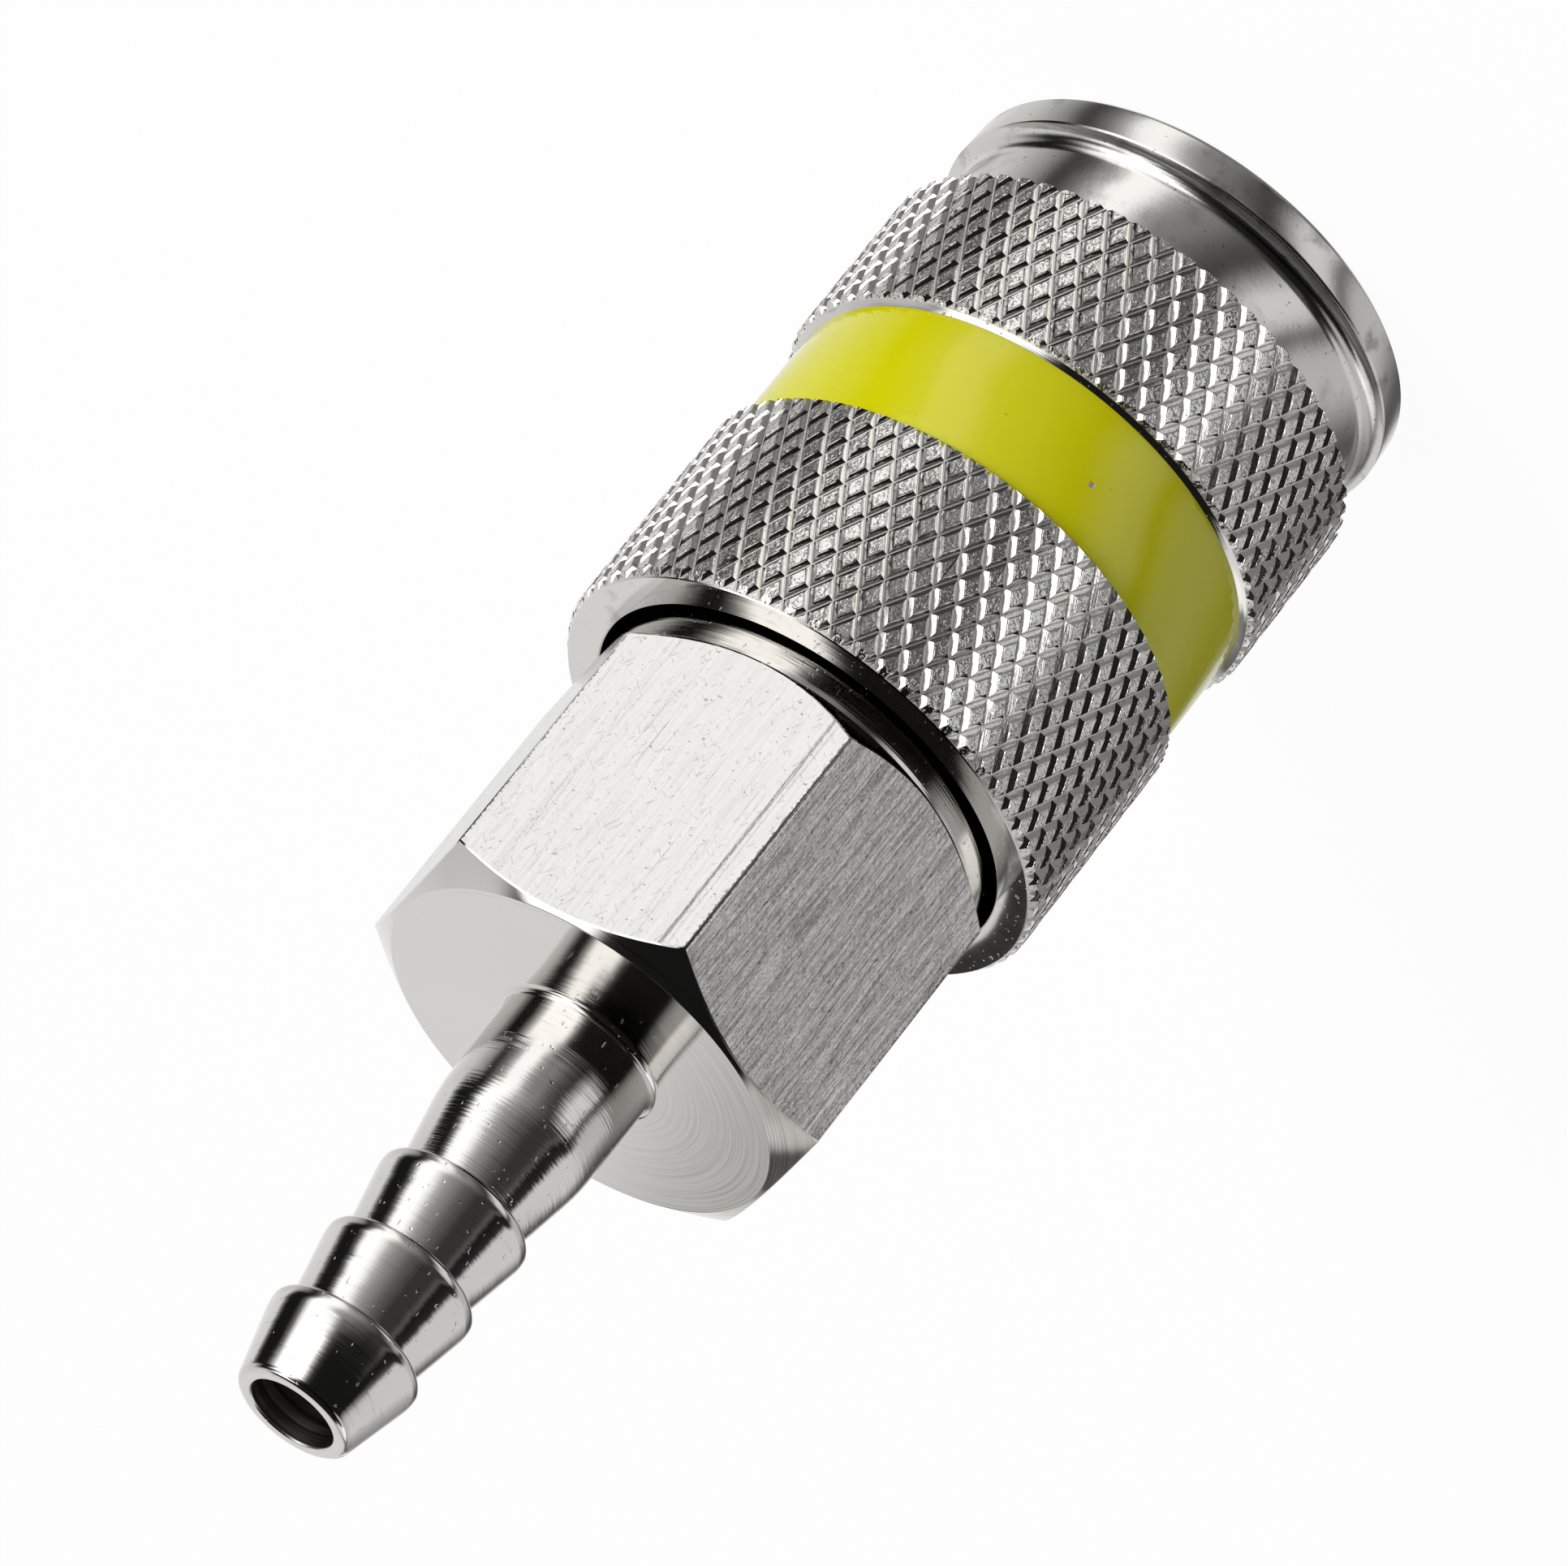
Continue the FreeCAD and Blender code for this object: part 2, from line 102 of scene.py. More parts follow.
class Value:
    """A number that changes over a surface. Arithmetic on it adds Math nodes."""

    def __init__(self, finish, socket):
        self.finish = finish
        self.socket = socket

    def maths(self, operation, *others):
        inputs = dict(enumerate((self,) + others))
        return self.finish.node("ShaderNodeMath", {"operation": operation}, inputs)

    def __add__(self, other):
        return self.maths("ADD", other)

    def __sub__(self, other):
        return self.maths("SUBTRACT", other)

    def __mul__(self, other):
        return self.maths("MULTIPLY", other)

    def __rsub__(self, other):
        return self.maths("MULTIPLY", -1.0).maths("ADD", other)

    __radd__ = __add__
    __rmul__ = __mul__

    def step(self, start, end):
        """0 before start, 1 after end, smooth between them; start may be the higher number."""
        inputs = {"Value": self, "From Min": start, "From Max": end}
        return self.finish.node("ShaderNodeMapRange", {"interpolation_type": "SMOOTHSTEP"}, inputs)


class Finish:
    """The nodes of one material, or of the room."""

    def __init__(self, tree):
        self.tree = tree
        tree.nodes.clear()

    def node(self, kind, settings=None, inputs=None, output=0):
        """Adds a node: its settings first, then the values or links of its sockets."""
        node = self.tree.nodes.new(kind)
        for name, setting in (settings or {}).items():
            if name == "stops":
                ramp = node.color_ramp
                while len(ramp.elements) < len(setting):
                    ramp.elements.new(1.0)
                for element, (position, colour) in zip(ramp.elements, setting):
                    element.position = position
                    element.color = colour
            else:
                setattr(node, name, setting)
        for name, value in (inputs or {}).items():
            if isinstance(value, Value):
                self.tree.links.new(value.socket, node.inputs[name])
            else:
                node.inputs[name].default_value = value
        return Value(self, node.outputs[output]) if len(node.outputs) else None

    def coordinates(self, kind="Object"):
        return self.node("ShaderNodeTexCoord", None, None, kind)

    def axes(self, vector):
        return [self.node("ShaderNodeSeparateXYZ", None, {0: vector}, axis) for axis in "XYZ"]

    def mixed(self, factor, first, second):
        inputs = {"Factor": factor, 6: first, 7: second}
        return self.node("ShaderNodeMix", {"data_type": "RGBA"}, inputs, 2)


def grey(level):
    return (level, level, level, 1.0)


world = bpy.data.worlds.new("photo_tent")
world.use_nodes = True
scene.world = world
room = Finish(world.node_tree)
direction = room.coordinates("Generated")
east, north, up = room.axes(direction)
level = up.maths("ARCSINE") * (180 / math.pi)
lean = ((level + LEAN_OFFSET) * (math.pi / LEAN_HALF_WAVE)).maths("SINE") * FLAG_LEAN
azimuth = north.maths("ARCTAN2", east) * (180 / math.pi) + lean
compass = azimuth * (1 / 360) + 0.5


def ring(ring_stops):
    """How bright one ring of the wall is, by the compass."""
    stops = [(angle / 360 + 0.5, grey(bright / 2)) for angle, bright in ring_stops]
    wall = room.node("ShaderNodeValToRGB", {"stops": stops}, {"Fac": compass})
    return room.node("ShaderNodeSeparateColor", None, {0: wall}, "Red") * 2


low = level.step(-16, -22)
high = level.step(-1, 6)
wall = ring(LOW_RING) * low + ring(LEVEL_RING) * (1 - low - high) + ring(HIGH_RING) * high
roof = level.step(48, 58)
pit = level.step(-44, -56)
high_flag = level.step(34, 43) * azimuth.step(30, 16)
roof_box = azimuth.step(36, 44) * azimuth.step(92, 84) * level.step(46, 52) * level.step(79, 74)
back_card = (azimuth.step(-176, -168) * azimuth.step(-124, -134)
             * level.step(27, 31) * level.step(56, 50))
tent = (wall * (1 - roof - pit) * (1 - high_flag) + roof * FLAG + pit * PIT
        + roof_box * SOFTBOX + back_card)
camera_sees = room.node("ShaderNodeLightPath", None, None, "Is Camera Ray")
strength = tent * (1 - camera_sees) + camera_sees
background = room.node("ShaderNodeBackground", None, {
    "Color": grey(CAMERA_WHITE), "Strength": strength})
room.node("ShaderNodeOutputWorld", None, {"Surface": background})


# One large soft lamp from the front lights the floor and the lacquer. The metal mirrors the
# tent alone.
LAMP_PLACE = Vector((0.84, 0.45, 0.62))
LAMP_SIZE = 0.6
LAMP_POWER = 6.8
lamp_data = bpy.data.lights.new("soft_lamp", "AREA")
lamp_data.shape = "DISK"
lamp_data.size = LAMP_SIZE
lamp_data.energy = LAMP_POWER
lamp = bpy.data.objects.new("soft_lamp", lamp_data)
lamp.location = LAMP_PLACE
lamp.rotation_euler = LAMP_PLACE.to_track_quat("Z", "Y").to_euler()
lamp.visible_glossy = False
scene.collection.objects.link(lamp)


# The floor is a plain sheet of white card. The camera sees it nearly as bright as paper, and
# it keeps a little of the shadow.
FLOOR_SIZE = 6000
FLOOR_WHITE = 0.85
FLOOR_GLOW = 0.96
FLAT_CORNERS = 30


def new_material(name):
    material = bpy.data.materials.new(name)
    material.use_nodes = True
    return material, Finish(material.node_tree)


def new_piece(name, bm, materials, sharp_angle=25):
    """A finished mesh, from millimetres to metres, shaded smooth but for its sharp edges and
    its large flats."""
    bmesh.ops.scale(bm, vec=(MM, MM, MM), verts=bm.verts)
    mesh = bpy.data.meshes.new(name)
    bm.to_mesh(mesh)
    bm.free()
    mesh.shade_smooth()
    mesh.set_sharp_from_angle(angle=math.radians(sharp_angle))
    for polygon in mesh.polygons:
        if polygon.loop_total > FLAT_CORNERS:
            polygon.use_smooth = False
    for material in materials:
        mesh.materials.append(material)
    piece = bpy.data.objects.new(name, mesh)
    scene.collection.objects.link(piece)
    return piece


bm = bmesh.new()
bmesh.ops.create_grid(bm, x_segments=1, y_segments=1, size=FLOOR_SIZE / 2)
card, finish = new_material("white_card")
paper = finish.node("ShaderNodeBsdfDiffuse", None, {"Color": grey(FLOOR_WHITE)})
glow = finish.node("ShaderNodeEmission", None, {"Color": grey(CAMERA_WHITE)})
seen = finish.node("ShaderNodeLightPath", None, None, "Is Camera Ray") * FLOOR_GLOW
surface = finish.node("ShaderNodeMixShader", None, {0: seen, 1: paper, 2: glow})
finish.node("ShaderNodeOutputMaterial", None, {"Surface": surface})
floor = new_piece("floor", bm, [card])
floor.visible_glossy = False


# A dark card stands close by, behind the hexagon, and only the nickel sees it: it is what
# darkens the near corner of the sleeve's rear face.
CARD_AWAY = 60
CARD_EDGE = 8.5
CARD_WIDTH = 6.5
CARD_HEIGHT = 14
CARD_COMPASS = 155
CARD_LEVEL = 28
CARD_PIVOT = (0, 0, 35.1)
CARD_BLACK = 0.05
compass_turn = Matrix.Rotation(math.radians(CARD_COMPASS), 4, "Z")
card_turn = compass_turn @ Matrix.Rotation(math.radians(-CARD_LEVEL), 4, "Y")
facing = Matrix.Rotation(math.radians(90), 3, "Y")
bm = bmesh.new()
bmesh.ops.create_grid(bm, x_segments=1, y_segments=1, size=0.5)
bmesh.ops.scale(bm, vec=(CARD_HEIGHT, CARD_WIDTH, 1), verts=bm.verts)
bmesh.ops.rotate(bm, cent=(0, 0, 0), matrix=facing, verts=bm.verts)
bmesh.ops.translate(bm, vec=(CARD_AWAY, CARD_EDGE + CARD_WIDTH / 2, 0), verts=bm.verts)
bmesh.ops.transform(bm, matrix=Matrix.Translation(CARD_PIVOT) @ card_turn, verts=bm.verts)
card, finish = new_material("dark_card")
paper = finish.node("ShaderNodeBsdfDiffuse", None, {"Color": grey(CARD_BLACK)})
finish.node("ShaderNodeOutputMaterial", None, {"Surface": paper})
flag = new_piece("near_flag", bm, [card])
flag.visible_camera = False
flag.visible_diffuse = False
flag.visible_shadow = False


# Hose tail: hexagon with its collar, smooth shank and three barbs, turned from one brass
# bar and plated with bright nickel. The flats keep the grain and the knocks of the bar. It
# is screwed onto the socket body, and the hose is pushed over the barbs.
COLLAR_RADIUS = 10.95
COLLAR_START = 33.7
FLATS_RADIUS = 11.0
FLAT_EDGE_BEVEL = 0.06
FLAT_MAP_STEP = 40
HEX_STOCK_RADIUS = 13.7
HEX_START = 36.62
HEX_FACE = 53.77
HEX_FACE_RADIUS = 10.75
FACE_CHAMFER_ANGLE = 34
COLLAR_CHAMFER_ANGLE = 44.5
FACED_RADIUS = 4.4
SHANK_RADIUS = 4.16
SHANK_END = 59.47
BARB_RADIUS = 4.11
BARB_ROOT_RADIUS = 3.4
BARB_PITCH = 4.48
BARB_BACK_LENGTH = 0.3
BARB_LAND = 0.5
TIP = 77.62
TIP_RADIUS = 3.1
TAIL_BORE_RADIUS = 2.3
TAIL_BORE_START = 50.2
CHAMBER_RADIUS = 6.6
CHAMBER_END = 45.9
THREAD_RADIUS = 8.05
THREAD_END = 42.5
SEAT_RADIUS = 9.3
SEAT_END = 34.9
TURNING_STEPS = 192


def arc_points(before, corner, after, radius, count=5):
    """Points of the arc that rounds a corner of a profile."""
    corner = Vector(corner)
    to_before = (Vector(before) - corner).normalized()
    to_after = (Vector(after) - corner).normalized()
    half = to_before.angle(to_after) / 2
    reach = radius / math.tan(half)
    centre = corner + (to_before + to_after).normalized() * (radius / math.sin(half))
    start = (corner + to_before * reach - centre).normalized()
    end = (corner + to_after * reach - centre).normalized()
    return [centre + start.slerp(end, number / count) * radius for number in range(count + 1)]


def turned(bm, profile, closed, steps=TURNING_STEPS):
    """Turns a profile of (radius, height, rounding) corners about the axis."""
    points = []
    count = len(profile)
    for number, (radius, height, rounding) in enumerate(profile):
        inside = closed or 0 < number < count - 1
        if rounding and inside:
            before = profile[number - 1][:2]
            after = profile[(number + 1) % count][:2]
            points.extend(arc_points(before, (radius, height), after, rounding))
        else:
            points.append(Vector((radius, height)))
    verts = [bm.verts.new((radius, 0, height)) for radius, height in points]
    edges = [bm.edges.new(pair) for pair in zip(verts, verts[1:])]
    if closed:
        edges.append(bm.edges.new((verts[-1], verts[0])))
    bmesh.ops.spin(bm, geom=verts + edges, cent=(0, 0, 0), axis=(0, 0, 1), angle=2 * math.pi,
                   steps=steps, use_merge=True)
    bmesh.ops.remove_doubles(bm, verts=bm.verts, dist=0.0005)
    return bm


face_drop = (HEX_STOCK_RADIUS - HEX_FACE_RADIUS) * math.tan(math.radians(FACE_CHAMFER_ANGLE))
collar_rise = (HEX_STOCK_RADIUS - COLLAR_RADIUS) * math.tan(math.radians(COLLAR_CHAMFER_ANGLE))
tail_profile = [
    (SEAT_RADIUS, COLLAR_START, 0), (COLLAR_RADIUS, COLLAR_START, 0.1),
    (COLLAR_RADIUS, HEX_START, 0), (HEX_STOCK_RADIUS, HEX_START + collar_rise, 0),
    (HEX_STOCK_RADIUS, HEX_FACE - face_drop, 0),
    (HEX_FACE_RADIUS, HEX_FACE, 0.12), (SHANK_RADIUS, HEX_FACE, 0.4), (SHANK_RADIUS, SHANK_END, 12),
]
for number in (3, 2, 1):
    crest_back = TIP - BARB_PITCH * number
    tail_profile.append((BARB_ROOT_RADIUS, crest_back - BARB_BACK_LENGTH, 0.05))
    tail_profile.append((BARB_RADIUS, crest_back, 0.3))
    tail_profile.append((BARB_RADIUS, crest_back + BARB_LAND, 2.5))
tail_profile += [
    (TIP_RADIUS, TIP, 0.45), (TAIL_BORE_RADIUS, TIP, 0.12), (TAIL_BORE_RADIUS, TAIL_BORE_START, 0),
    (CHAMBER_RADIUS, CHAMBER_END, 0), (CHAMBER_RADIUS, THREAD_END, 0),
    (THREAD_RADIUS, THREAD_END, 0), (THREAD_RADIUS, SEAT_END, 0), (SEAT_RADIUS, SEAT_END, 0),
]
bm = turned(bmesh.new(), tail_profile, True)
bmesh.ops.recalc_face_normals(bm, faces=bm.faces)
for number in range(6):
    angle = math.radians(60 * number)
    outwards = Vector((math.cos(angle), math.sin(angle), 0))
    whole = bm.verts[:] + bm.edges[:] + bm.faces[:]
    cut = bmesh.ops.bisect_plane(bm, geom=whole, dist=0.0001, plane_co=outwards * FLATS_RADIUS,
                                 plane_no=outwards, clear_outer=True)
    rim = [item for item in cut["geom_cut"] if isinstance(item, bmesh.types.BMEdge)]
    bmesh.ops.contextual_create(bm, geom=rim)
bmesh.ops.recalc_face_normals(bm, faces=bm.faces)


def on_flat(face):
    middle = face.calc_center_median()
    upright = abs(face.normal.z) < 0.02
    return upright and len(face.verts) > FLAT_CORNERS and middle.xy.length > FLATS_RADIUS - 2


flat_edges = dict.fromkeys(edge for face in bm.faces if on_flat(face) for edge in face.edges)
bmesh.ops.bevel(bm, geom=list(flat_edges), offset=FLAT_EDGE_BEVEL, segments=1, profile=0.5,
                affect="EDGES", material=-1, clamp_overlap=True)
flat_map = bm.loops.layers.uv.new("marks")
for face in bm.faces:
    middle = face.calc_center_median()
    if on_flat(face):
        face.material_index = 1
        number = round(math.degrees(math.atan2(middle.y, middle.x)) / 60)
        angle = math.radians(60 * number)
        along = Vector((-math.sin(angle), math.cos(angle), 0))
        for loop in face.loops:
            across, up_bar = loop.vert.co.dot(along), loop.vert.co.z + FLAT_MAP_STEP * number
            loop[flat_map].uv = (across * MM, up_bar * MM)
    elif middle.z > TAIL_BORE_START and face.normal.z > 0.5 and middle.xy.length > FACED_RADIUS:
        face.material_index = 2
    elif middle.xy.length < TAIL_BORE_RADIUS + 0.02:
        face.material_index = 3

NICKEL = (0.64, 0.625, 0.60, 1.0)
BAR_NICKEL = (0.74, 0.73, 0.71, 1.0)
TARNISH = (0.17, 0.155, 0.135, 1.0)


def coat(finish, height, inputs):
    """The whole surface of a material. height, in metres, is what can be felt on it."""
    bump = {"Height": height, "Strength": 1.0, "Distance": 1.0}
    normal = finish.node("ShaderNodeBump", None, bump)
    surface = finish.node("ShaderNodeBsdfPrincipled", None, {**inputs, "Normal": normal})
    finish.node("ShaderNodeOutputMaterial", None, {"Surface": surface})


def nickel(name, roughness, marks, plate=NICKEL):
    """Nickel plate. marks returns the height, in metres, of what its making left on it, how
    tarnished it is and how hazy."""
    material, finish = new_material(name)
    place = finish.coordinates()
    height, stain, haze = marks(finish, place)
    colour = finish.mixed(stain, plate, TARNISH)
    roughness = haze * 0.25 + roughness
    coat(finish, height, {"Base Color": colour, "Metallic": 1.0, "Roughness": roughness})
    return material


def stretched(finish, vector, x, y, z):
    return finish.node("ShaderNodeVectorMath", {"operation": "MULTIPLY"}, {0: vector, 1: (x, y, z)})


def noise(finish, vector, scale, detail=2.0, roughness=0.5):
    inputs = {"Vector": vector, "Scale": scale, "Detail": detail, "Roughness": roughness}
    return finish.node("ShaderNodeTexNoise", None, inputs, 0)


def lathe_marks(finish, place):
    """Fine rings from turning, deeper on the barbs, with pits, nicks and a little tarnish."""
    rings = noise(finish, stretched(finish, place, 70, 70, 7000), 1.0, 2.0, 0.6)
    rings = rings * (finish.axes(place)[2].step(0.066, 0.062) * 0.65 + 0.35)
    waves = noise(finish, stretched(finish, place, 350, 350, 1300), 1.0, 1.0)
    pits = noise(finish, place, 2600, 1.0).step(0.27, 0.2)
    nicks = noise(finish, stretched(finish, place, 5200, 5200, 1700), 1.0, 1.0).step(0.73, 0.79)
    stain = noise(finish, stretched(finish, place, 500, 500, 3600), 1.0, 3.0).step(0.60, 0.8) * 0.35
    height = rings * 8e-6 + waves * 1.0e-5 - pits * 1.2e-5 + nicks * 9e-6
    return height, stain, noise(finish, place, 600) * 0.3


def facing_marks_and_painted_shade(finish, place):
    """Arcs from facing the end on the lathe, plate torn along the rim of the face, and painted
    shade that darkens one side of the face, streaked by the arcs.
    """
    x, y = finish.axes(place)[:2]
    radius = (x * x + y * y).maths("SQRT")
    arc_place = finish.node("ShaderNodeCombineXYZ", None, {
        0: radius * 12000, 1: x * 110, 2: y * 110})
    side = (x * -0.35 - y * 0.94).step(0.0, 10.5 * MM)
    arcs = noise(finish, arc_place, 1.0, 3.0)
    at_rim = radius.step(9.8 * MM, 10.9 * MM)
    torn = noise(finish, arc_place, 0.3, 4.0, 0.7).step(0.63, 0.7) * at_rim
    # Painted shade: the face grows darker towards one side, streaked by the arcs.
    far_side_painted_shade = side * (arcs.step(0.35, 0.75) * 0.3 + 0.45)
    stain = (torn * 0.95).maths("MAXIMUM", far_side_painted_shade)
    return arcs * side * 5e-6, stain, noise(finish, place, 300) * 0.3


def scored(finish, spot, turn, wide, long, start, end):
    """Short straight marks, all at one angle."""
    turned_spot = finish.node("ShaderNodeMapping", None, {"Vector": spot, "Rotation": (0, 0, turn)})
    return noise(finish, stretched(finish, turned_spot, wide, long, 1), 1.0, 1.0).step(start, end)


def near_line(across, line_place, width):
    """1 on a line along the bar, 0 from its width away."""
    return (across - line_place * MM).maths("ABSOLUTE").step(width * MM, 0)


def bar_marks_and_painted_shade(finish, place):
    """The flats as the bar was drawn: grain along it, two shallow troughs and a ridge, dents
    and scratches from the tumbling barrel, and edges where the plate is torn. The top flat
    has less grain and is smoother, and its colour is darkened evenly, painted shade that
    tones down the softbox it mirrors."""
    spot = finish.coordinates("UV")
    across = finish.axes(spot)[0]
    # The top flat: less grain, and a fixed share of tarnish colour, painted shade that tones down
    # the softbox it mirrors.
    smooth_top_flat_painted_shade = finish.axes(place)[0].step(10.8 * MM, 10.9 * MM)
    rough = 1 - smooth_top_flat_painted_shade * 0.75
    grain = noise(finish, stretched(finish, spot, 6000, 420, 1), 1.0, 3.0, 0.7)
    flakes = noise(finish, stretched(finish, spot, 5200, 2600, 1), 1.0, 2.0, 0.6)
    scratches = (scored(finish, spot, 0.5, 7500, 1000, 0.68, 0.73)
                 + scored(finish, spot, -0.8, 7500, 1200, 0.68, 0.73)
                 + scored(finish, spot, 1.7, 7000, 1000, 0.69, 0.74)
                 + scored(finish, spot, 0.0, 7000, 150, 0.68, 0.82))
    dents = (scored(finish, spot, 0.3, 2800, 3800, 0.27, 0.20)
             + scored(finish, spot, 1.1, 4600, 3000, 0.26, 0.19))
    ridge = near_line(across, -5.3, 0.3) * 2.0e-5
    troughs = near_line(across, 4.2, 0.6) * 1.0e-5, near_line(across, -3.4, 0.7) * 1.0e-5
    form = ridge - troughs[0] - troughs[1]
    height = (grain * 2.2e-5 + flakes * 2.4e-5 - scratches * 1.2e-5) * rough + form - dents * 1.4e-5
    torn = noise(finish, stretched(finish, spot, 900, 6000, 1), 1.0, 3.0) * 0.42 - 0.12
    edge = (FLATS_RADIUS * math.tan(math.radians(30)) * MM - across.maths("ABSOLUTE")) * (1 / MM)
    rim_tear = (edge - torn).step(0.03, 0.0)
    spots = noise(finish, stretched(finish, spot, 5600, 2500, 1), 1.0, 2.0).step(0.60, 0.74) * 0.5
    streaks = noise(finish, stretched(finish, spot, 5600, 260, 1), 1.0, 2.0, 0.6).step(0.35, 0.7)
    wear_and_painted_shade = (spots + streaks * 0.6) * (1 - smooth_top_flat_painted_shade * 0.85) + smooth_top_flat_painted_shade * 0.25
    stain = (rim_tear * 0.9).maths("MAXIMUM", wear_and_painted_shade)
    return height, stain, noise(finish, stretched(finish, spot, 1800, 700, 1), 1.0) * 0.25


def bore_spiral_and_painted_shade(finish, place):
    """The drill's spiral in the tail's bore, and dull plate. The bore's colour is darkened
    throughout, partly dull plate and partly painted shade.
    """
    spiral = noise(finish, stretched(finish, place, 100, 100, 3500), 1.0)
    # Tarnish colour over the whole bore: partly dull plate, partly painted shade.
    return spiral * 1.5e-5, spiral.step(0.65, 0.35) * 0.7 + 0.3, spiral * 0.5


turned_nickel = nickel("turned_nickel", 0.05, lathe_marks)
bar_nickel = nickel("bar_nickel", 0.05, bar_marks_and_painted_shade, BAR_NICKEL)
faced_nickel = nickel("faced_nickel", 0.05, facing_marks_and_painted_shade)
bore_nickel_painted_shade = nickel("bore_nickel_painted_shade", 0.25, bore_spiral_and_painted_shade)
tail_finishes = [turned_nickel, bar_nickel, faced_nickel, bore_nickel_painted_shade]
hose_tail = new_piece("plated_hose_tail", bm, tail_finishes)
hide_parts("hose_tail")
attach(hose_tail, "coupling")


# Sliding sleeve: turned brass tube with a rim to pull on, a neck and two knurled bands,
# plated after knurling. The wheel left flat rough diamonds between V grooves. Inside, a cone
# holds the lock balls in, and lets them out when the sleeve is pulled back.
SLEEVE_RADIUS = 13.5
GROOVE_FLOOR_RADIUS = 12.82
SLEEVE_BORE_RADIUS = 11.4
NECK_RADIUS = 11.85
RIM_RADIUS = 12.8
RIM_EDGE_RADIUS = 12.7
RIM_LENGTH = 2.2
RIM_CHAMFER = 0.35
MOUTH_RADIUS = 9.4
MOUTH_DEPTH = 3.0
RELIEF_RADIUS = 8.52
CONE_START = 6.14
CONE_START_RADIUS = 8.47
CONE_END = 8.76
LOCK_RADIUS = 7.16
SHOULDER = 13.9
KNURL_FRONT = 6.7
GROOVE_FRONT = 15.25
GROOVE_REAR = 22.8
GROOVE_WALL_RUN = 0.44
SLEEVE_END = 35.1
REAR_CHAMFER_LENGTH = 0.43
REAR_CHAMFER_DEPTH = 0.33
KNURL_STARTS = 62
KNURL_ROW = 1.21
KNURL_DEPTH = 0.27
# Each flank in three steps: inwards, outwards and pressed over to one side.
KNURL_STEPS = ((0.025, 0, 0), (0.13, 0.15, 0.049), (0.129, 0.12, 0.01))
KNURL_RAGGED = 0.03
KNURL_SEED = 1
BELOW_KNURL = KNURL_DEPTH + 0.01
FRONT_KNURL_TURN = 0.46
FRONT_KNURL_SHIFT = -0.68
REAR_KNURL_TURN = -0.61
REAR_KNURL_SHIFT = -0.7
# The flanks and the tops get a brighter plate than the turned nickel: painted light that lifts the
# knurl.
FLANK_PAINTED_LIGHT = (0.8, 0.785, 0.76, 1.0)
TOP_PAINTED_LIGHT = (0.68, 0.665, 0.64, 1.0)
# Near-white plate of the groove bottoms: a painted highlight.
GROOVE_HIGHLIGHT_WHITE = (0.97, 0.95, 0.92, 1.0)
SLEEVE_STEPS = 4 * KNURL_STARTS


